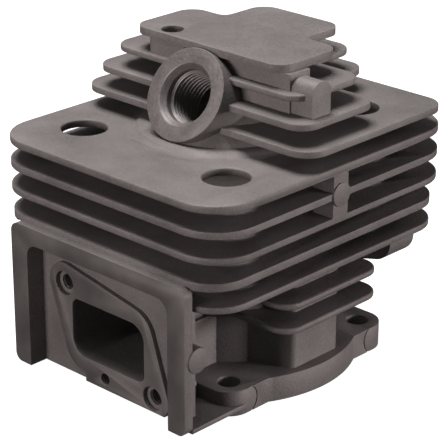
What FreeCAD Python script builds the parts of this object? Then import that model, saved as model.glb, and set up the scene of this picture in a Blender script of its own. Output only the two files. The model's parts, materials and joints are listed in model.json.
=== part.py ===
"""Air-cooled cylinder with integral head for a small two-stroke engine.

Frame: the origin is on the bore axis at the base gasket face, +Z runs up the bore,
-Y is the intake side, +Y the exhaust side and +X the right-hand side of the casting.
All sizes are millimetres. The casting is split into its natural regions, which meet
face to face, and each region is written as its own solid.
"""
import FreeCAD, Part
import math
import os
import re

V = FreeCAD.Vector

DIMENSIONS = (
    ("bore_r", 22.0, "cylinder bore radius"),
    ("barrel_r", 27.0, "outer radius of the barrel wall"),
    ("foot_r", 24.6, "outer radius of the barrel's foot, below the lowest fin"),
    ("squish_z", 58.0, "squish face at the top of the bore"),
    ("flange_h", 6.8, "base flange thickness"),
    ("flange_arc_r", 35.2, "round part of the base flange"),
    ("flange_half", 31.0, "half width over the flange's corner bosses"),
    ("flange_corner_r", 6.2, "corner boss radius"),
    ("stud_half", 25.0, "half the base bolt spacing"),
    ("stud_hole_r", 3.0, "base bolt hole radius"),
    ("witness_r", 4.2, "ejector witness circle on the flange corners"),
    ("witness_depth", 0.25, "depth of the witness groove"),
    ("deck_z", 62.25, "top of the deck plate"),
    ("deck_t", 2.1, "deck plate thickness"),
    ("fin_pitch", 6.62, "spacing of the cylinder fins"),
    ("fin_t", 1.8, "cylinder fin thickness"),
    ("fin_half_x", 40.0, "half width of the deck and upper fins"),
    ("fin_half_y", 44.9, "half length of the deck and upper fins"),
    ("fin_corner_r", 11.8, "corner radius of the deck and upper fins"),
    ("fin_inset", 1.4, "how far the two middle fins stand back"),
    ("low_fin_half_x", 38.5, "half width of the two lowest fins"),
    ("low_fin_half_y", 18.4, "half length of the two lowest fins"),
    ("low_fin_corner_r", 5.5, "corner radius of the two lowest fins"),
    ("access_half_x", 25.1, "access holes from the centre line"),
    ("access_front_y", 26.2, "front access holes from the bore axis"),
    ("access_rear_y", 21.7, "rear access holes from the bore axis"),
    ("access_r", 6.0, "access hole radius"),
    ("transfer_half_x", 32.0, "outer face of the transfer bulges"),
    ("transfer_corner_r", 1.8, "corner radius of the transfer bulges"),
    ("transfer_corner_y", 7.3, "centre of those corners, along Y"),
    ("transfer_root_x", 18.0, "inner end of the bulges' slanting sides"),
    ("transfer_root_y", 14.5, "half width of the bulges at that end"),
    ("passage_half_y", 7.2, "half width of the transfer passages"),
    ("passage_in_x", 24.9, "inner wall of the transfer passages"),
    ("passage_out_x", 29.6, "outer wall of the transfer passages"),
    ("passage_top_z", 29.0, "roof of the transfer passages"),
    ("window_low_z", 24.0, "sill of the transfer windows"),
    ("ledge_z", 1.6, "underside of the intake frame"),
    ("frame_half_x", 31.2, "half width over the intake frame"),
    ("frame_top_z", 40.9, "top of the intake frame"),
    ("frame_front_y", -46.9, "front face of the intake frame"),
    ("frame_back_y", -44.2, "back of the frame's front plate"),
    ("recess_half_x", 25.3, "half width of the recess inside the frame"),
    ("recess_top_z", 36.3, "top of the recess inside the frame"),
    ("recess_wall", 1.3, "side wall of the recess"),
    ("panel_front_y", -41.6, "face of the recessed panel"),
    ("panel_back_y", -38.6, "back of the recessed panel"),
    ("pad_front_y", -42.9, "face of the carburettor pad"),
    ("port_z", 16.1, "centre height of the intake port"),
    ("port_half_x", 13.0, "half width of the intake port"),
    ("port_half_z", 7.8, "half height of the intake port"),
    ("pad_bolt_x", 15.8, "pad screw holes from the port centre"),
    ("pad_bolt_z", 10.8, "pad screw holes above and below the port centre"),
    ("pad_thread_r", 2.1, "pad screw hole radius"),
    ("pad_thread_depth", 9.4, "pad screw hole depth"),
    ("pad_boss_r", 4.6, "radius of the bosses behind the pad screw holes"),
    ("pad_boss_back_y", -31.5, "back of those bosses"),
    ("pad_sink_r", 3.25, "counterbore radius of the pad screw holes"),
    ("pad_sink_depth", 1.4, "counterbore depth of the pad screw holes"),
    ("pulse_r", 1.6, "crankcase pulse hole radius"),
    ("duct_half_x", 15.2, "half width of the intake duct, up to the lowest fin"),
    ("duct_low_z", 5.0, "bottom of the intake duct"),
    ("duct_crown_half_x", 14.0, "half width of the duct's crown"),
    ("duct_crown_r", 5.5, "corner radius of the duct's crown"),
    ("duct_crown_z", 26.1, "top of the duct's crown"),
    ("ejector_r", 3.35, "ejector pad radius"),
    ("nub_y", -42.5, "centre of the ejector nubs, along Y"),
    ("nub_z", 21.2, "centre of the ejector nubs, along Z"),
    ("nub_lift", 0.4, "how far the ejector nubs stand proud of the frame"),
    ("web_t", 1.3, "floor webs behind the frame"),
    ("ear_x", 24.0, "exhaust screw holes from the centre line"),
    ("ear_z", 28.0, "height of the exhaust screw holes"),
    ("ear_r", 5.8, "radius of the exhaust flange's ears"),
    ("ear_thread_r", 2.5, "exhaust screw hole radius"),
    ("exhaust_face_y", 42.0, "exhaust flange face"),
    ("exhaust_back_y", 32.0, "back of the exhaust flange"),
    ("exhaust_half_x", 11.0, "half width of the exhaust port"),
    ("exhaust_top_z", 31.6, "top of the exhaust port, whose sill is level with the barrel's foot"),
    ("exhaust_wall", 2.2, "wall round the exhaust port"),
    ("dome_step_r", 23.8, "foot radius of the low round step on the deck"),
    ("dome_step_h", 1.0, "height of that step"),
    ("dome_step_slope", 1.5, "how far the step's side leans in"),
    ("dome_r", 19.5, "foot radius of the head dome"),
    ("dome_h", 12.0, "height of the head dome over the deck"),
    ("chamber_r", 17.0, "combustion chamber radius at the squish face"),
    ("chamber_h", 10.5, "combustion chamber depth"),
    ("plug_y", -15.0, "centre of the spark plug seat, along Y"),
    ("plug_z", 74.4, "centre of the spark plug seat, along Z"),
    ("plug_rise", 28.8, "degrees that the plug axis rises towards the intake side"),
    ("plug_boss_r", 12.2, "spark plug boss radius"),
    ("plug_boss_len", 19.0, "length over which the boss is drawn"),
    ("plug_thread_r", 7.0, "spark plug hole radius, for an M14 x 1.25 thread"),
    ("plug_sink_r", 8.2, "mouth radius of the plug seat's chamfer"),
    ("plug_sink_depth", 1.6, "depth of the plug seat's chamfer"),
    ("head_fin_z", 66.25, "underside of the lowest head fin"),
    ("head_pitch", 5.8, "spacing of the head fins"),
    ("head_fin_t", 1.7, "head fin thickness"),
    ("cap_t", 2.0, "thickness of the head's top plate"),
    ("rib_front_y", -6.4, "front face of the head rib"),
    ("rib_back_y", 1.0, "back face of the head rib"),
    ("screw_x", -15.5, "shroud screw hole from the centre line"),
    ("screw_y", -3.7, "shroud screw hole from the bore axis"),
    ("screw_r", 3.0, "shroud screw hole radius"),
    ("screw_boss_x", -21.2, "outer end of the shroud screw boss"),
    ("screw_boss_front_y", -7.9, "front of the shroud screw boss"),
    ("screw_boss_corner_r", 3.0, "corner radius of the shroud screw boss"),
    ("rib_low_half_x", 11.8, "half width of the head rib in the lowest gap, behind the plug boss"),
    ("rib_end_x", 27.4, "outer end of the head rib"),
    ("side_boss_x", 34.2, "outer end of the side boss"),
    ("side_boss_front_y", -5.9, "front of the side boss"),
    ("side_boss_back_y", 0.9, "back of the side boss"),
    ("side_boss_top_z", 82.6, "top of the side boss"),
    ("side_boss_corner_r", 3.0, "upper corner radius of the side boss"),
    ("post_y", -1.2, "centre of the fin posts"),
    ("post_half_y", 2.75, "half width of the fin posts"),
    ("post_depth", 6.5, "how far the fin posts reach in"),
    ("post_pad_r", 3.1, "radius of the ejector pads on the posts"),
    ("post_pad", 0.4, "height of those pads"),
)

# One row per head fin: half width, front, back of the wide part, half width and back of
# the narrow tail behind it, and the corner radius.
HEAD_FINS = (
    ("head_fin_1", 40.0, -13.4, 41.0, 0.0, 0.0, 6.5),
    ("head_fin_2", 36.6, -11.8, 16.8, 17.0, 36.0, 5.5),
    ("head_fin_3", 32.4, -9.3, 15.8, 15.5, 32.5, 5.5),
    ("head_cap", 26.0, -8.1, 14.2, 14.0, 29.2, 5.0),
)

doc = FreeCAD.newDocument("two_stroke_cylinder")
sheet = doc.addObject("Spreadsheet::Sheet", "Dim")
CELL = {alias: value for alias, value, _ in DIMENSIONS}
NODES = []

TURNED = {
    "x": FreeCAD.Rotation(V(0, 1, 0), 90),
    "y": FreeCAD.Rotation(V(1, 0, 0), -90),
    "z": FreeCAD.Rotation(),
}
DRAWN = {
    "x": FreeCAD.Rotation(V(1, 1, 1), 120),
    "y": FreeCAD.Rotation(V(1, 0, 0), 90),
    "z": FreeCAD.Rotation(),
}
ALONG = {"x": V(1, 0, 0), "y": V(0, 1, 0), "z": V(0, 0, 1)}


def fill_sheet():
    for row, (alias, value, note) in enumerate(DIMENSIONS, 1):
        sheet.set("A%d" % row, note)
        sheet.set("B%d" % row, str(value))
        sheet.setAlias("B%d" % row, alias)
    doc.recompute()


def formula(text):
    """Turn sheet names inside a formula into references to the sheet."""
    def reference(match):
        word = match.group(0)
        return "Dim." + word if word in CELL else word
    return re.sub(r"[a-z][a-z0-9_]*", reference, str(text))


def bind(thing, **formulas):
    for name, text in formulas.items():
        thing.setExpression(name.replace("__", "."), formula(text))
    return thing


def place(thing, x="0", y="0", z="0", turn=None):
    if turn is not None:
        thing.Placement = FreeCAD.Placement(V(), turn)
    return bind(thing, Placement__Base__x=x, Placement__Base__y=y, Placement__Base__z=z)


def box(name, x, y, z):
    """Box between the low and high formulas of each axis."""
    solid = doc.addObject("Part::Box", name)
    bind(solid, Length="(%s) - (%s)" % (x[1], x[0]), Width="(%s) - (%s)" % (y[1], y[0]),
         Height="(%s) - (%s)" % (z[1], z[0]))
    return place(solid, x[0], y[0], z[0])


def rod(name, radius, span, x="0", y="0", z="0", axis="z"):
    """Round bar of the given radius, over a span of its axis."""
    solid = doc.addObject("Part::Cylinder", name)
    bind(solid, Radius=radius, Height="(%s) - (%s)" % (span[1], span[0]))
    centre = {"x": x, "y": y, "z": z}
    centre[axis] = span[0]
    return place(solid, turn=TURNED[axis], **centre)


def outline(name, circles, axis):
    """Sketch of the closed line round a set of circles, taken anticlockwise."""
    sketch = doc.addObject("Sketcher::SketchObject", name)
    sketch.Placement = FreeCAD.Placement(V(), DRAWN[axis])
    count = len(circles)
    normals = []
    for index in range(count):
        x1, y1, r1 = circles[index]
        x2, y2, r2 = circles[(index + 1) % count]
        length = math.hypot(x2 - x1, y2 - y1)
        along = V((x2 - x1) / length, (y2 - y1) / length, 0)
        lean = (r1 - r2) / length
        level = math.sqrt(1 - lean * lean)
        normals.append(V(along.y * level + along.x * lean, -along.x * level + along.y * lean, 0))
    for index in range(count):
        x1, y1, r1 = circles[index]
        x2, y2, r2 = circles[(index + 1) % count]
        out = normals[index]
        start = V(x1, y1, 0) + out * r1
        end = V(x2, y2, 0) + out * r2
        sketch.addGeometry(Part.LineSegment(start, end), False)
        turn_from = math.atan2(normals[index - 1].y, normals[index - 1].x)
        turn_to = math.atan2(out.y, out.x)
        if turn_to < turn_from:
            turn_to += 2 * math.pi
        circle = Part.Circle(V(x1, y1, 0), V(0, 0, 1), r1)
        sketch.addGeometry(Part.ArcOfCircle(circle, turn_from, turn_to), False)
    return sketch


def prism(name, sketch, span, axis):
    """Solid drawn by a sketch, over a span of one axis."""
    solid = doc.addObject("Part::Extrusion", name)
    solid.Base = sketch
    solid.DirMode = "Custom"
    solid.Dir = ALONG[axis]
    solid.Solid = True
    bind(solid, LengthFwd="(%s) - (%s)" % (span[1], span[0]))
    bind(sketch, **{"Placement__Base__" + axis: span[0]})
    return solid


def rounded(name, x, y, radii, span, axis="z"):
    """Rounded rectangle, given by its low and high values and its four corner radii."""
    corners = ((x[1], y[0], -1, 1), (x[1], y[1], -1, -1), (x[0], y[1], 1, -1), (x[0], y[0], 1, 1))
    circles = [(cx + sx * r, cy + sy * r, r) for (cx, cy, sx, sy), r in zip(corners, radii)]
    return prism(name, outline(name + "_outline", circles, axis), span, axis)


def joined(name, *solids):
    whole = doc.addObject("Part::MultiFuse", name)
    whole.Shapes = list(solids)
    whole.Refine = True
    return whole


def cut(name, base, *tools):
    rest = doc.addObject("Part::Cut", name)
    rest.Base = base
    rest.Tool = tools[0] if len(tools) == 1 else joined(name + "_tools", *tools)
    rest.Refine = True
    return rest


def mirrored(name, source):
    """The same solid on the other side of the YZ plane."""
    twin = doc.addObject("Part::Mirroring", name)
    twin.Source = source
    twin.Normal = V(1, 0, 0)
    return twin


def edge_rounded(name, base, radius, wanted):
    """Round the edges of a solid that the wanted function picks."""
    doc.recompute()
    chosen = [index for index, edge in enumerate(base.Shape.Edges, 1) if wanted(edge)]
    fillet = doc.addObject("Part::Fillet", name)
    fillet.Base = base
    fillet.Edges = [(index, radius, radius) for index in chosen]
    return fillet


def upright(edge):
    box_of_edge = edge.BoundBox
    return box_of_edge.ZLength > 0.5 and box_of_edge.XLength + box_of_edge.YLength < 1e-6


def node(label, solid):
    solid.Label = label
    NODES.append(solid)


def revolved(name, edges):
    """Solid of revolution about the Z axis from a closed profile in the XZ plane."""
    sketch = doc.addObject("Sketcher::SketchObject", name + "_profile")
    sketch.Placement = FreeCAD.Placement(V(), DRAWN["y"])
    for edge in edges:
        sketch.addGeometry(edge, False)
    solid = doc.addObject("Part::Revolution", name)
    solid.Source = sketch
    solid.Axis = V(0, 0, 1)
    solid.Angle = 360
    solid.Solid = True
    return solid


def cap_edges(foot_r, foot_z, top_z):
    """Arc from a foot circle up to the axis, as part of a profile."""
    height = top_z - foot_z
    sphere_r = (foot_r ** 2 + height ** 2) / (2 * height)
    centre = V(0, top_z - sphere_r, 0)
    lean = math.asin(foot_r / sphere_r)
    return Part.ArcOfCircle(Part.Circle(centre, V(0, 0, 1), sphere_r), math.pi / 2 - lean, math.pi / 2)


def line(*points):
    return [Part.LineSegment(V(a[0], a[1], 0), V(b[0], b[1], 0)) for a, b in zip(points, points[1:])]


def plug_rod(name, radius, start, end):
    """Round bar on the spark plug axis, from start to end below the plug seat."""
    solid = doc.addObject("Part::Cylinder", name)
    bind(solid, Radius=radius, Height="(%s) - (%s)" % (end, start))
    return plug_place(solid, start)


def plug_place(solid, start):
    rise = math.radians(CELL["plug_rise"])
    inward = V(0, math.cos(rise), -math.sin(rise))
    solid.Placement = FreeCAD.Placement(V(), FreeCAD.Rotation(V(0, 0, 1), inward))
    run = "(%s) * cos(plug_rise * 1 deg)" % start
    fall = "(%s) * sin(plug_rise * 1 deg)" % start
    return bind(solid, Placement__Base__y="plug_y + " + run, Placement__Base__z="plug_z - " + fall)


def four_rods(name, radius, x, front_y, rear_y, span):
    """Round bars on both sides, in front of and behind the bore axis."""
    corners = ((sx, y) for sx in ("", "-") for y in ("-(%s)" % front_y, rear_y))
    rods = [rod("%s_%d" % (name, index), radius, span, "%s(%s)" % (sx, x), y)
            for index, (sx, y) in enumerate(corners, 1)]
    return joined(name, *rods)


fill_sheet()

# ---- spaces and envelopes that several regions share ----
FOOT_TOP = "(deck_z - 6 * fin_pitch - fin_t)"
FIN_3_LOW = "(deck_z - 4 * fin_pitch - fin_t)"
foot_top_z = CELL["deck_z"] - 6 * CELL["fin_pitch"] - CELL["fin_t"]
half = CELL["flange_half"]
corner = CELL["flange_corner_r"]
foot_space = rod("foot_space", "foot_r", ("-1", FOOT_TOP))
wall_space = rod("wall_space", "barrel_r", (FOOT_TOP, "deck_z + 1"))
barrel_space = joined("barrel_space", foot_space, wall_space)
bore_space = rod("bore_space", "bore_r", ("-1", "squish_z + 1"))
access_space = four_rods("access_space", "access_r", "access_half_x", "access_front_y", "access_rear_y",
                         ("flange_h + 1", "deck_z + 12"))
flange_blank = joined(
    "flange_blank",
    rounded("flange_square", (-half, half), (-half, half), [corner] * 4, ("0", "flange_h")),
    rod("flange_round", "flange_arc_r", ("0", "flange_h")))


def both_sides(name, solid):
    """A space and its mirror image, as one tool."""
    return joined(name, solid, mirrored(name + "_mirror", solid))


passages = both_sides("passages", box("passage_right", ("foot_r - 2", "passage_out_x"),
                                      ("-passage_half_y", "passage_half_y"), ("-1", "passage_top_z")))


def port_tunnel(name, half_x, half_z, centre_z, radii, span):
    """Rounded-rectangle tunnel along Y."""
    return rounded(name, (-half_x, half_x), (centre_z - half_z, centre_z + half_z), radii, span, "y")


intake_tunnel = port_tunnel("intake_tunnel", CELL["port_half_x"], CELL["port_half_z"], CELL["port_z"],
                            (2.4, 4.6, 2.4, 4.6), ("pad_front_y - 1", "-bore_r + 6"))
exhaust_z = (CELL["exhaust_top_z"] + foot_top_z) / 2
exhaust_half_z = (CELL["exhaust_top_z"] - foot_top_z) / 2
exhaust_tunnel = port_tunnel("exhaust_tunnel", CELL["exhaust_half_x"], exhaust_half_z, exhaust_z,
                             (3, 3, 3, 3), ("bore_r - 6", "exhaust_face_y + 1"))


def pad_screw(name, side):
    """Screw hole of the carburettor pad, with its counterbore."""
    x = "%spad_bolt_x" % side
    z = "port_z %s pad_bolt_z" % ("+" if side == "-" else "-")
    thread = rod(name + "_thread", "pad_thread_r", ("pad_front_y - 1", "pad_front_y + pad_thread_depth"),
                 x=x, z=z, axis="y")
    sink = rod(name + "_sink", "pad_sink_r", ("pad_front_y - 1", "pad_front_y + pad_sink_depth"),
               x=x, z=z, axis="y")
    return joined(name, thread, sink)


pulse_hole = rod("pulse_hole", "pulse_r", ("pad_front_y - 1", "panel_back_y + 3"),
                 x="-1.3", z="4.6", axis="y")
pad_holes = joined("pad_holes", intake_tunnel, pad_screw("pad_screw_high", "-"),
                   pad_screw("pad_screw_low", ""), pulse_hole)

# ---- base flange ----
stud_holes = four_rods("stud_holes", "stud_hole_r", "stud_half", "stud_half", "stud_half",
                       ("-1", "flange_h + 1"))


def witness(name, side_x, side_y):
    """Round parting line that an ejector pin leaves on a flange corner."""
    outer = "%s(flange_half - witness_depth)" % side_x
    reach = ("flange_half - witness_depth", "flange_half + 1")
    if side_x == "-":
        reach = ("-flange_half - 1", outer)
    y = "%s(stud_half)" % side_y
    disc = rod(name + "_disc", "witness_r", reach, y=y, z="flange_h / 2", axis="x")
    core = rod(name + "_core", "witness_r - 0.35", reach, y=y, z="flange_h / 2", axis="x")
    return cut(name, disc, core)


witness_rings = [witness("witness_%d" % index, sx, sy)
                 for index, (sx, sy) in enumerate((a, b) for a in ("", "-") for b in ("", "-"))]
node("base_flange", cut("base_flange", flange_blank, barrel_space, stud_holes, passages, *witness_rings))

# ---- barrel: a plain ring above the ports, pillars between them, bridges and sills ----
ring_blank = rod("ring_blank", "barrel_r", ("exhaust_top_z", "squish_z"))
node("barrel", cut("barrel", ring_blank, bore_space))
band_blank = cut("band_blank", rod("band_rod", "barrel_r", (FOOT_TOP, "exhaust_top_z")), bore_space)
foot_blank = cut("foot_blank", rod("foot_rod", "foot_r", ("0", FOOT_TOP)), bore_space)


def port_column(name, low_z, high_z):
    """Upright space through the wall, as wide as the intake port."""
    return box(name, ("-port_half_x", "port_half_x"), ("-barrel_r - 1", "0"), (low_z, high_z))


def transfer_columns(name, low_z, high_z, inner="0", outer="barrel_r + 1"):
    """Upright spaces on both sides, as wide as the transfer passages."""
    return both_sides(name, box(name + "_right", (inner, outer), ("-passage_half_y", "passage_half_y"),
                                (low_z, high_z)))


def common(name, first, second):
    shared = doc.addObject("Part::Common", name)
    shared.Base = first
    shared.Tool = second
    return shared


exhaust_column = box("exhaust_column", ("-exhaust_half_x", "exhaust_half_x"), ("0", "barrel_r + 1"),
                     ("0", "exhaust_top_z + 1"))
node("port_pillars", cut("port_pillars", band_blank, port_column("intake_column", "0", "exhaust_top_z + 1"),
                         exhaust_column, transfer_columns("transfer_columns", "0", "exhaust_top_z + 1")))
node("port_bridges", common("port_bridges", band_blank, joined(
    "bridge_space", port_column("intake_bridge", "port_z + port_half_z", "exhaust_top_z"),
    transfer_columns("transfer_bridge", "passage_top_z", "exhaust_top_z"))))
node("transfer_sills", common("transfer_sills", band_blank, transfer_columns(
    "transfer_sill_space", FOOT_TOP, "window_low_z", "0", "passage_in_x")))
node("barrel_foot", cut("barrel_foot", foot_blank, port_column("foot_notch", "-1", "exhaust_top_z")))
node("intake_sill", common("intake_sill", foot_blank, port_column("sill_space", "0", "port_z - port_half_z")))

# ---- transfer bulges ----
bulge_corner = (CELL["transfer_half_x"] - CELL["transfer_corner_r"], CELL["transfer_corner_y"],
                CELL["transfer_corner_r"])
bulge_root = (CELL["transfer_root_x"], CELL["transfer_root_y"] - 1, 1)
bulge_circles = ((bulge_root[0], -bulge_root[1], bulge_root[2]),
                 (bulge_corner[0], -bulge_corner[1], bulge_corner[2]), bulge_corner, bulge_root)
bulge_right = prism("bulge_right", outline("bulge_outline", bulge_circles, "z"), ("flange_h", FIN_3_LOW), "z")
bulge_left = mirrored("bulge_left", bulge_right)
bulge_columns = transfer_columns("bulge_columns", "0", FIN_3_LOW + " + 1", "0", "transfer_half_x + 1")
node("transfer_cheeks", cut("transfer_cheeks", joined("bulges", bulge_right, bulge_left), barrel_space,
                            bulge_columns))
node("transfer_covers", transfer_columns("transfer_covers", "flange_h", "passage_top_z", "passage_out_x",
                                         "transfer_half_x"))
roof_blank = transfer_columns("roof_blank", "passage_top_z", FIN_3_LOW, "bore_r", "transfer_half_x")
node("transfer_roofs", cut("transfer_roofs", roof_blank, barrel_space))

# ---- intake side ----
recess_half = CELL["recess_half_x"]
frame_half = CELL["frame_half_x"]
ledge = CELL["ledge_z"]
front_plate = rounded("front_plate", (-frame_half, frame_half), (ledge, CELL["frame_top_z"]),
                      (2.2, 2.6, 2.6, 2.2), ("frame_front_y", "frame_back_y"), "y")
wall = CELL["recess_wall"]
recess_walls = rounded("recess_walls", (-recess_half - wall, recess_half + wall),
                       (ledge, CELL["recess_top_z"] + wall), (0.4, 4.5, 4.5, 0.4),
                       ("frame_back_y", "panel_back_y"), "y")
recess = rounded("recess", (-recess_half, recess_half), (ledge - 9, CELL["recess_top_z"]),
                 (3.6, 3.6, 3.6, 3.6), ("frame_front_y - 1", "panel_back_y + 1"), "y")
node("intake_frame", cut("intake_frame", joined("frame_blank", front_plate, recess_walls), recess))
panel_blank = rounded("panel_blank", (-recess_half, recess_half), (ledge, CELL["recess_top_z"]),
                      (0.4, 3.6, 3.6, 0.4), ("panel_front_y", "panel_back_y"), "y")
node("intake_panel", cut("intake_panel", panel_blank, pad_holes))
lobe = (CELL["pad_bolt_x"], CELL["pad_bolt_z"])
port_z = CELL["port_z"]
pad_circles = ((lobe[0], port_z - lobe[1], 5.6), (8.6, port_z + 4.4, 7.6),
               (-lobe[0], port_z + lobe[1], 5.6), (-8.6, port_z - 4.4, 7.6))
pad_hull = prism("pad_hull", outline("pad_outline", pad_circles, "y"),
                 ("pad_front_y", "panel_front_y"), "y")
pad_below = box("pad_below", ("-40", "40"), ("pad_front_y - 1", "panel_front_y + 1"), ("-20", "ledge_z"))
pad_foot = box("pad_foot", ("-8.6", "pad_bolt_x"), ("pad_front_y", "panel_front_y"),
               ("ledge_z", "port_z - pad_bolt_z"))
node("intake_pad", cut("intake_pad", joined("pad_blank", pad_hull, pad_foot), pad_holes, pad_below))

duct_base = rounded("duct_base", (-CELL["duct_half_x"], CELL["duct_half_x"]),
                    (CELL["duct_low_z"], foot_top_z), (2.0, 0.4, 0.4, 2.0),
                    ("panel_back_y", "4 - bore_r"), "y")
crown_half = CELL["duct_crown_half_x"]
crown_r = CELL["duct_crown_r"]
duct_crown = rounded("duct_crown", (-crown_half, crown_half), (port_z, CELL["duct_crown_z"]),
                     (1.0, crown_r, crown_r, 1.0), ("panel_back_y", "4 - bore_r"), "y")
duct_blank = joined("duct_blank", duct_base, duct_crown)
node("intake_duct", cut("intake_duct", duct_blank, barrel_space, flange_blank, pad_holes))
for name, side in (("high", "-"), ("low", "")):
    pad_boss = rod("pad_boss_" + name, "pad_boss_r", ("panel_back_y", "pad_boss_back_y"),
                   x=side + "pad_bolt_x", z="port_z %s pad_bolt_z" % ("+" if side else "-"), axis="y")
    node("screw_boss_" + name, cut("screw_boss_" + name, pad_boss, duct_blank, flange_blank, pad_holes))
nub_right = rod("nub_right", "ejector_r", ("recess_half_x + recess_wall", "frame_half_x + nub_lift"),
                y="nub_y", z="nub_z", axis="x")
frame_solid = joined("frame_solid", front_plate, recess_walls)
node("ejector_nub_right", cut("ejector_nub_right", nub_right, frame_solid))
node("ejector_nub_left", cut("ejector_nub_left", mirrored("nub_left", nub_right), frame_solid))
web_right = box("web_right", ("duct_half_x", "frame_half_x"), ("frame_back_y", "-stud_half"),
                ("ledge_z", "ledge_z + web_t"))
web_clear = joined("web_clear", flange_blank, recess_walls, pad_boss)
node("floor_web_right", cut("floor_web_right", web_right, web_clear))
node("floor_web_left", cut("floor_web_left", mirrored("web_left", web_right), web_clear))

# ---- exhaust side ----
ear = (CELL["ear_x"], CELL["ear_z"], CELL["ear_r"])
lower_r = CELL["exhaust_wall"] + 1.5
lower = (CELL["exhaust_half_x"] - 1.5, foot_top_z - CELL["exhaust_wall"] + lower_r, lower_r)
exhaust_circles = (lower, ear, (-ear[0], ear[1], ear[2]), (-lower[0], lower[1], lower[2]))
exhaust_hull = prism("exhaust_hull", outline("exhaust_outline", exhaust_circles, "y"),
                     ("exhaust_back_y", "exhaust_face_y"), "y")
ear_holes = [rod("ear_hole_" + name, "ear_thread_r", ("exhaust_back_y - 1", "exhaust_face_y + 1"),
                 x=x, z="ear_z", axis="y") for name, x in (("right", "ear_x"), ("left", "-ear_x"))]
node("exhaust_flange", cut("exhaust_flange", exhaust_hull, exhaust_tunnel, *ear_holes))
exhaust_duct = box("exhaust_duct_blank",
                   ("-exhaust_half_x - exhaust_wall", "exhaust_half_x + exhaust_wall"),
                   ("bore_r - 4", "exhaust_back_y"),
                   (FOOT_TOP + " - exhaust_wall", "exhaust_top_z + exhaust_wall"))
node("exhaust_duct", cut("exhaust_duct", exhaust_duct, barrel_space, exhaust_tunnel))


# ---- cylinder fins and deck ----
def fin_blank(name, steps_down, thickness, inset, front_inset):
    """Full fin, a number of pitches below the deck."""
    half_x = CELL["fin_half_x"] - inset
    half_y = CELL["fin_half_y"] - inset
    front_y = CELL["fin_half_y"] - front_inset
    radius = CELL["fin_corner_r"] - inset
    top_z = "deck_z - %d * fin_pitch" % steps_down
    return rounded(name + "_blank", (-half_x, half_x), (-front_y, half_y), [radius] * 4,
                   ("%s - %s" % (top_z, thickness), top_z))


inset = CELL["fin_inset"]
frame_space = joined("frame_space",
                     box("frame_space_box", ("-recess_half_x - recess_wall", "recess_half_x + recess_wall"),
                         ("frame_front_y", "panel_back_y"), ("0", "frame_top_z")),
                     box("frame_plate_box", ("-frame_half_x", "frame_half_x"),
                         ("frame_front_y", "frame_back_y"), ("0", "frame_top_z")))
for name, steps_down, thickness, back, front in (
        ("fin_3", 4, "fin_t", inset, inset), ("fin_4", 3, "fin_t - 0.3", inset, 0.0),
        ("fin_5", 2, "fin_t", 0.0, 0.0), ("fin_6", 1, "fin_t", 0.0, 0.0), ("deck", 0, "deck_t", 0.0, 0.0)):
    blank = fin_blank(name, steps_down, thickness, back, front)
    node(name, cut(name, blank, barrel_space, access_space, frame_space))

low_half_x = CELL["low_fin_half_x"]
low_half_y = CELL["low_fin_half_y"]
for name, steps_down in (("fin_1", 6), ("fin_2", 5)):
    top_z = "deck_z - %d * fin_pitch" % steps_down
    blank = rounded(name + "_blank", (-low_half_x, low_half_x), (-low_half_y, low_half_y),
                    [CELL["low_fin_corner_r"]] * 4, ("%s - fin_t" % top_z, top_z))
    node(name, cut(name, blank, barrel_space, bulge_right, bulge_left))

# ---- posts that tie the upper fins together on both sides ----
post_span = ("-post_half_y + post_y", "post_half_y + post_y")
post_x = ("fin_half_x - post_depth", "fin_half_x")
post_low = box("post_low", post_x, post_span, ("deck_z - 2 * fin_pitch", "deck_z - fin_pitch - fin_t"))
post_high = box("post_high", post_x, post_span, ("deck_z - fin_pitch", "deck_z - deck_t"))
post_pad = rod("post_pad_disc", "post_pad_r", ("fin_half_x", "fin_half_x + post_pad"),
               y="post_y", z="deck_z - fin_pitch - fin_t / 2", axis="x")
fin_post = joined("fin_post", post_low, post_high, post_pad)
node("fin_post_right", fin_post)
node("fin_post_left", mirrored("fin_post_mirror", fin_post))

# ---- head dome, combustion chamber and spark plug boss ----
deck_z = CELL["deck_z"]
squish_z = CELL["squish_z"]
dome_foot_z = deck_z + CELL["dome_step_h"]
dome_top_z = deck_z + CELL["dome_h"]
dome_blank = revolved("dome_blank", [cap_edges(CELL["dome_r"], dome_foot_z, dome_top_z)] + line(
    (0, dome_top_z), (0, squish_z), (CELL["barrel_r"], squish_z), (CELL["barrel_r"], deck_z),
    (CELL["dome_step_r"], deck_z), (CELL["dome_step_r"] - CELL["dome_step_slope"], dome_foot_z),
    (CELL["dome_r"], dome_foot_z)))
chamber_top_z = squish_z + CELL["chamber_h"]
chamber_low_z = squish_z - 1
chamber_space = revolved("chamber_space", [cap_edges(CELL["chamber_r"], squish_z, chamber_top_z)] + line(
    (0, chamber_top_z), (0, chamber_low_z), (CELL["chamber_r"], chamber_low_z),
    (CELL["chamber_r"], squish_z)))
plug_hole = plug_rod("plug_hole", "plug_thread_r", "-1", "plug_boss_len")
plug_sink = doc.addObject("Part::Cone", "plug_sink")
bind(plug_sink, Radius1="plug_sink_r", Radius2="plug_thread_r", Height="plug_sink_depth")
plug_place(plug_sink, "0")
plug_space = joined("plug_space", plug_hole, plug_sink)
boss_blank = doc.addObject("Part::Common", "boss_blank")
boss_blank.Base = plug_rod("boss_rod", "plug_boss_r", "0", "plug_boss_len")
boss_blank.Tool = box("boss_limit", ("-plug_boss_r - 1", "plug_boss_r + 1"),
                      ("plug_y - plug_boss_r", "rib_back_y"), ("deck_z", "deck_z + 30"))
node("head_dome", cut("head_dome", dome_blank, chamber_space, plug_space))
node("spark_plug_boss", cut("spark_plug_boss", boss_blank, dome_blank, plug_space))

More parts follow.
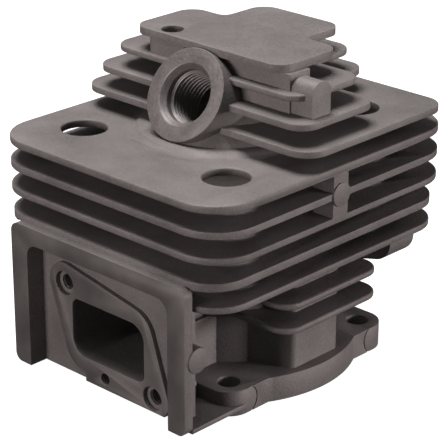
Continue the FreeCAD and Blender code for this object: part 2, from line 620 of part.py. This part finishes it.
# ---- head rib, shroud screw boss and side boss ----
gap_low = ["head_fin_z + %d * head_pitch + head_fin_t" % step for step in range(3)]
gap_high = ["head_fin_z + %d * head_pitch" % step for step in range(1, 4)]
screw_boss_blank = rounded(
    "screw_boss_blank", (CELL["screw_boss_x"], -CELL["plug_boss_r"] + 5),
    (CELL["screw_boss_front_y"], CELL["rib_back_y"]), [1.0, 1.0] + [CELL["screw_boss_corner_r"]] * 2,
    (gap_low[2], gap_high[2]))
screw_space = rod("screw_space", "screw_r", (gap_low[2] + " + 0.6", "head_fin_z + 5 * head_pitch"),
                  x="screw_x", y="screw_y")
rib_start = ("-rib_low_half_x", "-plug_boss_r", "screw_x")
rib_end = ("rib_low_half_x", "rib_end_x", "rib_end_x")
rib_blocks = [box("rib_%d" % (step + 1), (rib_start[step], rib_end[step]), ("rib_front_y", "rib_back_y"),
                  (gap_low[step], gap_high[step])) for step in range(3)]
node("head_rib", cut("head_rib", joined("rib_blank", *rib_blocks), dome_blank, boss_blank, screw_boss_blank))
node("shroud_screw_boss", cut("shroud_screw_boss", screw_boss_blank, screw_space, boss_blank))
side_corner = CELL["side_boss_corner_r"]
side_boss_low_z = CELL["head_fin_z"] + CELL["head_pitch"] + CELL["head_fin_t"]
side_boss_blank = rounded(
    "side_boss_blank", (CELL["side_boss_front_y"], CELL["side_boss_back_y"]),
    (side_boss_low_z, CELL["side_boss_top_z"]), (0.3, side_corner, side_corner, 0.3),
    ("rib_end_x", "side_boss_x"), "x")
node("side_boss", cut("side_boss", side_boss_blank, *rib_blocks[1:]))

# ---- head fins and top plate ----
for step, (name, half_x, front_y, waist_y, tail_half, tail_y, radius) in enumerate(HEAD_FINS):
    low_z = "head_fin_z + %d * head_pitch" % step
    span = (low_z, "%s + %s" % (low_z, "cap_t" if name == "head_cap" else "head_fin_t"))
    blank = rounded(name + "_wide", (-half_x, half_x), (front_y, waist_y), [radius] * 4, span)
    if tail_half:
        tail = rounded(name + "_tail", (-tail_half, tail_half), (waist_y - 8, tail_y), [radius] * 4, span)
        blank = edge_rounded(name + "_blank", joined(name + "_tee", blank, tail), 2.6, upright)
    tools = [dome_blank, boss_blank, access_space, side_boss_blank, screw_space]
    node(name, cut(name, blank, *(tools[:3] if step == 0 else tools[:2] + tools[3:])))

doc.recompute()
for thing in doc.Objects:
    problems = [state for state in thing.State if state in ("Invalid", "Error")]
    if problems:
        raise RuntimeError("%s failed to compute: %s" % (thing.Name, problems))
for solid in NODES:
    if solid.Shape.isNull() or not solid.Shape.isValid() or not solid.Shape.Solids:
        raise RuntimeError("%s has no valid solid" % solid.Label)

os.makedirs("parts", exist_ok=True)
for solid in NODES:
    solid.Shape.exportStep("parts/%s.step" % solid.Label)
    print(solid.Label, len(solid.Shape.Solids), round(solid.Shape.Volume, 1))
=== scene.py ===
import json
import math

import bmesh
import bpy
from mathutils import Matrix, Vector
from mathutils.bvhtree import BVHTree


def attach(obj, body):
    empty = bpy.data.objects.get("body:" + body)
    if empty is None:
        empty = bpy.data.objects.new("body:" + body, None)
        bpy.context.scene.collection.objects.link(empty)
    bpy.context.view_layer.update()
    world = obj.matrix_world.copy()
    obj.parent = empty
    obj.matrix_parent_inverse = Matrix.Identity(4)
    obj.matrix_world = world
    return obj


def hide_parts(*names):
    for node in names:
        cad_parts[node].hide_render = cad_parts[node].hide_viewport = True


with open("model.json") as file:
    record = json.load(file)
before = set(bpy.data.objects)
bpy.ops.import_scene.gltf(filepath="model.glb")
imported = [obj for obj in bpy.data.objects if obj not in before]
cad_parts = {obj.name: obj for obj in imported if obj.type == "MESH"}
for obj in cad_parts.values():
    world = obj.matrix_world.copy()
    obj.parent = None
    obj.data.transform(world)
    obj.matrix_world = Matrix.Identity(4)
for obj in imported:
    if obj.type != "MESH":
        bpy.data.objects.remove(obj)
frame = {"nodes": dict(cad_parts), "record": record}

MM = 0.001
NODES = frame["nodes"]
MOUNTS = {mount["name"]: mount for mount in frame["record"]["mounts"]}
SLOTS = {part["node"]: part["material_slot"] for part in frame["record"]["subparts"]}
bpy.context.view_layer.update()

# ---- camera ----
LOOK_AT = Vector((-0.6, 0.0, 34.7)) * MM
CAMERA_AZIMUTH = math.radians(43.58)
CAMERA_ELEVATION = math.radians(22.68)
CAMERA_DISTANCE = 498.9 * MM
CAMERA_ROLL = math.radians(0.17)
LENS_MM = 152.54


def make_camera():
    back = Vector((math.sin(CAMERA_AZIMUTH) * math.cos(CAMERA_ELEVATION),
                   -math.cos(CAMERA_AZIMUTH) * math.cos(CAMERA_ELEVATION),
                   math.sin(CAMERA_ELEVATION)))
    data = bpy.data.cameras.new("camera")
    data.lens = LENS_MM
    data.sensor_width = 36.0
    data.clip_start, data.clip_end = 0.01, 20.0
    camera = bpy.data.objects.new("camera", data)
    bpy.context.scene.collection.objects.link(camera)
    turn = (-back).to_track_quat("-Z", "Y").to_matrix() @ Matrix.Rotation(CAMERA_ROLL, 3, "Z")
    camera.matrix_world = Matrix.Translation(LOOK_AT + back * CAMERA_DISTANCE) @ turn.to_4x4()
    bpy.context.scene.camera = camera


# ---- light and floor ----
LIGHT_TARGET = Vector((0, 0, 0.04))
# name: place and diameter in metres, power in watts, colour
LIGHTS = {
    "top_softbox": ((-0.25, 0.0, 1.25), 0.8, 25.0, (1.0, 0.975, 0.97)),
    "right_softbox": ((1.10, 0.60, 0.12), 0.4, 15.5, (1.0, 0.93, 0.91)),
    "front_softbox": ((-0.10, -1.20, 0.14), 0.5, 11.0, (1.0, 0.92, 0.91)),
}
WORLD_STRENGTH = 0.08
FLOOR_HALF = 4.0
FLOOR_DROP = 0.2 * MM


def area_light(name, place, size, power, colour):
    data = bpy.data.lights.new(name, "AREA")
    data.shape = "DISK"
    data.size = size
    data.energy = power
    data.color = colour
    light = bpy.data.objects.new(name, data)
    bpy.context.scene.collection.objects.link(light)
    light.location = place
    aim = LIGHT_TARGET - Vector(place)
    light.rotation_mode = "QUATERNION"
    light.rotation_quaternion = aim.to_track_quat("-Z", "Y")


def make_stage():
    bpy.context.scene.view_settings.view_transform = "Standard"
    for name, (place, size, power, colour) in LIGHTS.items():
        area_light(name, place, size, power, colour)
    world = bpy.data.worlds.new("studio")
    world.use_nodes = True
    background = world.node_tree.nodes["Background"]
    background.inputs["Color"].default_value = (1.0, 1.0, 1.0, 1.0)
    background.inputs["Strength"].default_value = WORLD_STRENGTH
    bpy.context.scene.world = world
    floor_mesh = bpy.data.meshes.new("floor")
    corners = [(FLOOR_HALF * sx, FLOOR_HALF * sy, 0) for sx, sy in ((-1, -1), (1, -1), (1, 1), (-1, 1))]
    floor_mesh.from_pydata(corners, [], [(0, 1, 2, 3)])
    floor = bpy.data.objects.new("floor", floor_mesh)
    floor.location.z = -FLOOR_DROP
    bpy.context.scene.collection.objects.link(floor)
    paint = Shader("floor_paint")
    paint.set(**{"Base Color": (0.3, 0.3, 0.3, 1.0), "Roughness": 0.9, "Specular IOR Level": 0.1,
                 "Emission Color": (1.0, 1.0, 1.0, 1.0), "Emission Strength": 1.0})
    floor_mesh.materials.append(paint.material)
    # The floor looks white, but throws no light on the part.
    floor.visible_diffuse = False
    floor.visible_glossy = False


# ---- materials ----
class Shader:
    """A node material with its Principled shader, and short calls that add nodes to it."""

    def __init__(self, name):
        self.material = bpy.data.materials.new(name)
        self.material.use_nodes = True
        self.tree = self.material.node_tree
        self.shader = self.tree.nodes["Principled BSDF"]
        coordinates = self.tree.nodes.new("ShaderNodeTexCoord")
        self.place = coordinates.outputs["Object"]

    def set(self, **values):
        for socket, value in values.items():
            self.shader.inputs[socket].default_value = value

    def link(self, source, target):
        self.tree.links.new(source, target)

    def noise(self, scale, detail=3.0, roughness=0.55, place=None):
        node = self.tree.nodes.new("ShaderNodeTexNoise")
        node.inputs["Scale"].default_value = scale
        node.inputs["Detail"].default_value = detail
        node.inputs["Roughness"].default_value = roughness
        self.link(place or self.place, node.inputs["Vector"])
        return node.outputs["Fac"]

    def cells(self, scale):
        node = self.tree.nodes.new("ShaderNodeTexVoronoi")
        node.inputs["Scale"].default_value = scale
        self.link(self.place, node.inputs["Vector"])
        return node.outputs["Distance"]

    def span(self, value, low, high, to_low, to_high):
        node = self.tree.nodes.new("ShaderNodeMapRange")
        for socket, number in zip(("From Min", "From Max", "To Min", "To Max"), (low, high, to_low, to_high)):
            node.inputs[socket].default_value = number
        self.link(value, node.inputs["Value"])
        return node.outputs["Result"]

    def maths(self, operation, first, second):
        node = self.tree.nodes.new("ShaderNodeMath")
        node.operation = operation
        for socket, value in zip(node.inputs, (first, second)):
            if isinstance(value, (int, float)):
                socket.default_value = value
            else:
                self.link(value, socket)
        return node.outputs["Value"]

    def ramp(self, value, *stops):
        node = self.tree.nodes.new("ShaderNodeValToRGB")
        ramp = node.color_ramp
        while len(ramp.elements) < len(stops):
            ramp.elements.new(0.5)
        for element, (position, colour) in zip(ramp.elements, stops):
            element.position = position
            element.color = (*colour, 1.0)
        self.link(value, node.inputs["Fac"])
        return node.outputs["Color"]

    def bump(self, height, distance, strength=1.0, under=None):
        node = self.tree.nodes.new("ShaderNodeBump")
        node.inputs["Distance"].default_value = distance
        node.inputs["Strength"].default_value = strength
        self.link(height, node.inputs["Height"])
        if under:
            self.link(under, node.inputs["Normal"])
        return node.outputs["Normal"]


CAST_DARK = (0.098, 0.088, 0.086)
CAST_MID = (0.150, 0.136, 0.133)
CAST_LIGHT = (0.205, 0.188, 0.184)


def cast_material():
    """Shot-blasted die casting: matt warm grey with fine grain and faint stains."""
    paint = Shader("shot_blasted_casting")
    stains = paint.noise(38.0, 4.0, 0.6)
    grain = paint.noise(1900.0, 2.0, 0.6)
    dimples = paint.cells(1500.0)
    mix = paint.maths("ADD", paint.maths("MULTIPLY", stains, 0.55), paint.maths("MULTIPLY", grain, 0.45))
    paint.link(paint.ramp(mix, (0.34, CAST_DARK), (0.5, CAST_MID), (0.66, CAST_LIGHT)),
               paint.shader.inputs["Base Color"])
    paint.link(paint.span(grain, 0.3, 0.7, 0.56, 0.74), paint.shader.inputs["Roughness"])
    soft = paint.bump(paint.noise(260.0, 3.0), 0.00012, 0.5)
    paint.link(paint.bump(dimples, 0.00008, 0.55, soft), paint.shader.inputs["Normal"])
    paint.set(**{"Metallic": 0.35, "Specular IOR Level": 0.45})
    return paint.material


def machined_material():
    """Milled sealing face: smoother than the casting, with faint cutter arcs and stains."""
    paint = Shader("milled_face")
    rings = paint.tree.nodes.new("ShaderNodeTexWave")
    rings.wave_type = "RINGS"
    rings.rings_direction = "Y"
    rings.inputs["Scale"].default_value = 620.0
    rings.inputs["Distortion"].default_value = 1.2
    rings.inputs["Detail"].default_value = 1.0
    shifted = paint.tree.nodes.new("ShaderNodeMapping")
    shifted.inputs["Location"].default_value = (0.034, 0.0, -0.052)
    paint.link(paint.place, shifted.inputs["Vector"])
    paint.link(shifted.outputs["Vector"], rings.inputs["Vector"])
    stains = paint.noise(60.0, 4.0, 0.6)
    mix = paint.maths("ADD", paint.maths("MULTIPLY", stains, 0.8),
                      paint.maths("MULTIPLY", rings.outputs["Fac"], 0.2))
    paint.link(paint.ramp(mix, (0.3, CAST_DARK), (0.55, CAST_MID), (0.75, CAST_LIGHT)),
               paint.shader.inputs["Base Color"])
    paint.link(paint.span(stains, 0.3, 0.7, 0.42, 0.55), paint.shader.inputs["Roughness"])
    paint.link(paint.bump(rings.outputs["Fac"], 0.00003, 0.4), paint.shader.inputs["Normal"])
    paint.set(**{"Metallic": 0.5})
    return paint.material


def turned_material():
    """Turned metal round the spark plug hole: concentric tool marks about the plug axis."""
    paint = Shader("turned_seat")
    mount = MOUNTS["spark_plug_hole"]
    axis = Vector(mount["axis"]).normalized()
    centre = Vector(mount["pos_m"])
    offset = paint.tree.nodes.new("ShaderNodeVectorMath")
    offset.operation = "SUBTRACT"
    offset.inputs[1].default_value = centre
    paint.link(paint.place, offset.inputs[0])
    cross = paint.tree.nodes.new("ShaderNodeVectorMath")
    cross.operation = "CROSS_PRODUCT"
    cross.inputs[1].default_value = axis
    paint.link(offset.outputs["Vector"], cross.inputs[0])
    length = paint.tree.nodes.new("ShaderNodeVectorMath")
    length.operation = "LENGTH"
    paint.link(cross.outputs["Vector"], length.inputs[0])
    radius = length.outputs["Value"]
    marks = paint.maths("SINE", paint.maths("MULTIPLY", radius, 2 * math.pi / (0.42 * MM)), 0.0)
    grain = paint.noise(1500.0, 2.0, 0.6)
    stains = paint.noise(90.0, 3.0, 0.6)
    mix = paint.maths("ADD", paint.maths("MULTIPLY", grain, 0.4), paint.maths("MULTIPLY", stains, 0.6))
    paint.link(paint.ramp(mix, (0.32, CAST_DARK), (0.5, CAST_MID), (0.68, CAST_LIGHT)),
               paint.shader.inputs["Base Color"])
    paint.link(paint.span(grain, 0.3, 0.7, 0.42, 0.6), paint.shader.inputs["Roughness"])
    soft = paint.bump(grain, 0.00008, 0.4)
    paint.link(paint.bump(marks, 0.00002, 0.5, soft), paint.shader.inputs["Normal"])
    paint.set(**{"Metallic": 0.45})
    return paint.material


def bore_material():
    """Plated bore: bright, with diagonal honing lines."""
    paint = Shader("honed_bore")
    first = paint.noise(900.0, 2.0)
    wave = paint.tree.nodes.new("ShaderNodeTexWave")
    wave.inputs["Scale"].default_value = 900.0
    wave.bands_direction = "DIAGONAL"
    paint.link(paint.place, wave.inputs["Vector"])
    paint.link(paint.ramp(first, (0.35, (0.34, 0.33, 0.33)), (0.65, (0.46, 0.45, 0.44))),
               paint.shader.inputs["Base Color"])
    paint.link(paint.span(first, 0.3, 0.7, 0.22, 0.34), paint.shader.inputs["Roughness"])
    paint.link(paint.bump(wave.outputs["Fac"], 0.00001, 0.4), paint.shader.inputs["Normal"])
    paint.set(**{"Metallic": 0.9})
    return paint.material


# ---- pieces made from the CAD nodes, with the rims of the casting rounded ----
TREES = {}
MERGE = 0.002 * MM
TOUCH = 0.13 * MM


def plain_mesh(node):
    """The node's mesh with shared corners, and its flat faces in one piece."""
    mesh = bmesh.new()
    mesh.from_mesh(NODES[node].data)
    bmesh.ops.remove_doubles(mesh, verts=mesh.verts, dist=MERGE)
    bmesh.ops.dissolve_limit(mesh, angle_limit=math.radians(0.4), use_dissolve_boundaries=False,
                             verts=mesh.verts, edges=mesh.edges)
    bmesh.ops.recalc_face_normals(mesh, faces=mesh.faces)
    return mesh


def touches_another(node, point):
    return any(tree.find_nearest(point, TOUCH)[0] is not None
               for other, tree in TREES.items() if other != node)


def free_rims(mesh, node, corner=38.0):
    """Convex corners of the node that don't lie against another node."""
    rims = []
    for edge in mesh.edges:
        if len(edge.link_faces) != 2 or edge.calc_face_angle_signed(0.0) < math.radians(corner):
            continue
        first, last = (vertex.co for vertex in edge.verts)
        if not touches_another(node, (first + last) / 2):
            rims.append(edge)
    return rims


def finish_piece(mesh, name, materials, sharp=36.0):
    """Makes the object from its mesh, shaded smooth except at the corners that are left."""
    for face in mesh.faces:
        face.smooth = True
    for edge in mesh.edges:
        edge.smooth = len(edge.link_faces) == 2 and edge.calc_face_angle(0.0) < math.radians(sharp)
    data = bpy.data.meshes.new(name)
    mesh.to_mesh(data)
    mesh.free()
    for material in materials:
        data.materials.append(material)
    piece = bpy.data.objects.new(name, data)
    bpy.context.scene.collection.objects.link(piece)
    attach(piece, "root")
    return piece


RIMS = {
    "deck": (0.75, 3), "head_cap": (0.75, 3), "head_fin_1": (0.7, 3), "head_fin_2": (0.7, 3),
    "head_fin_3": (0.7, 3), "fin_1": (0.62, 3), "fin_2": (0.62, 3), "fin_3": (0.62, 3), "fin_4": (0.5, 3),
    "fin_5": (0.62, 3), "fin_6": (0.62, 3), "base_flange": (0.45, 2), "intake_frame": (0.45, 2),
    "intake_pad": (0.12, 2), "spark_plug_boss": (0.22, 2), "side_boss": (0.5, 3), "head_rib": (0.5, 3),
    "fin_post_right": (0.4, 2), "fin_post_left": (0.4, 2), "transfer_cheeks": (0.6, 3),
    "barrel": (0.3, 2), "exhaust_flange": (0.5, 2), "shroud_screw_boss": (0.4, 3),
}
RIM_ELSEWHERE = (0.35, 2)


SEAT_RADIUS = 8.6 * MM
BORE_MARGIN = 0.2 * MM
FACING = 0.98


def face_materials(node, cast, machined, turned, bore):
    """The node's materials, and the function that picks one for each face."""
    if node == "spark_plug_boss":
        mount = MOUNTS["spark_plug_hole"]
        axis, centre = Vector(mount["axis"]).normalized(), Vector(mount["pos_m"])

        def pick(face):
            away = face.calc_center_median() - centre
            radius = (away - axis * away.dot(axis)).length
            return 1 if radius < SEAT_RADIUS or face.normal.dot(axis) > FACING else 0
        return [cast, turned], pick
    if SLOTS[node] == "bore_barrel":
        bore_r = MOUNTS["cylinder_bore"]["dims"]["r_mm"] * MM

        def pick(face):
            middle = face.calc_center_median()
            return 1 if math.hypot(middle.x, middle.y) < bore_r + BORE_MARGIN else 0
        return [cast, bore], pick
    if node in ("intake_pad", "intake_frame", "base_flange", "exhaust_flange"):
        facing = {"base_flange": Vector((0, 0, -1)), "exhaust_flange": Vector((0, 1, 0))}
        normal = facing.get(node, Vector((0, -1, 0)))
        return [cast, machined], lambda face: 1 if face.normal.dot(normal) > FACING else 0
    return [cast], lambda face: 0


def make_casting(cast, machined, turned, bore):
    for name, node in NODES.items():
        TREES[name] = BVHTree.FromPolygons([v.co for v in node.data.vertices],
                                           [p.vertices for p in node.data.polygons])
    for name in NODES:
        width, steps = RIMS.get(name, RIM_ELSEWHERE)
        mesh = plain_mesh(name)
        rims = free_rims(mesh, name)
        bmesh.ops.bevel(mesh, geom=rims, offset=width * MM, offset_type="OFFSET", segments=steps,
                        profile=0.5, affect="EDGES", clamp_overlap=True, loop_slide=True)
        bmesh.ops.remove_doubles(mesh, verts=mesh.verts, dist=MERGE)
        materials, pick = face_materials(name, cast, machined, turned, bore)
        for face in mesh.faces:
            face.material_index = pick(face)
        piece = finish_piece(mesh, name + "_cast", materials)
        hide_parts(name)


# ---- threads: the ridge wound along the wall of a threaded hole ----
THREAD_STEPS = 72
# mount: node, pitch, crest radius, start below the mouth and length, all in mm
THREADS = {
    "spark_plug_hole": ("spark_plug_boss", 1.25, 6.33, 1.4, 11.0),
    "intake_screw_high": ("intake_panel", 0.8, 1.95, 0.3, 6.5),
    "intake_screw_low": ("intake_panel", 0.8, 1.95, 0.3, 6.5),
}


def make_thread(mount_name, material):
    node, pitch, crest, first, length = THREADS[mount_name]
    mount = MOUNTS[mount_name]
    axis = Vector(mount["axis"]).normalized()
    mouth = Vector(mount["pos_m"]) + axis * (mount["dims"]["length_mm"] / 2) * MM
    side = Vector((1, 0, 0))
    up = axis.cross(side)
    root = mount["dims"]["r_mm"] + 0.04
    flank = 0.45 * pitch
    section = ((root, -flank), (crest, -0.08 * pitch), (crest, 0.08 * pitch), (root, flank))
    count = int(length / pitch * THREAD_STEPS)
    mesh = bmesh.new()
    rings = []
    for step in range(count + 1):
        angle = 2 * math.pi * step / THREAD_STEPS
        along = -first - pitch * step / THREAD_STEPS
        depth = min(1.0, min(step, count - step) / (THREAD_STEPS / 4))
        out = side * math.cos(angle) + up * math.sin(angle)
        rings.append([mesh.verts.new(mouth + (out * (root - (root - radius) * depth)
                                              + axis * (along + shift)) * MM)
                      for radius, shift in section])
    for before, after in zip(rings, rings[1:]):
        for index in range(len(section)):
            following = (index + 1) % len(section)
            mesh.faces.new((before[index], before[following], after[following], after[index]))
    bmesh.ops.remove_doubles(mesh, verts=mesh.verts, dist=MERGE)
    bmesh.ops.holes_fill(mesh, edges=mesh.edges)
    bmesh.ops.recalc_face_normals(mesh, faces=mesh.faces)
    finish_piece(mesh, mount_name + "_thread", [material], sharp=25.0)


make_camera()
make_stage()
cast = cast_material()
turned = turned_material()
make_casting(cast, machined_material(), turned, bore_material())
for threaded in THREADS:
    make_thread(threaded, turned)
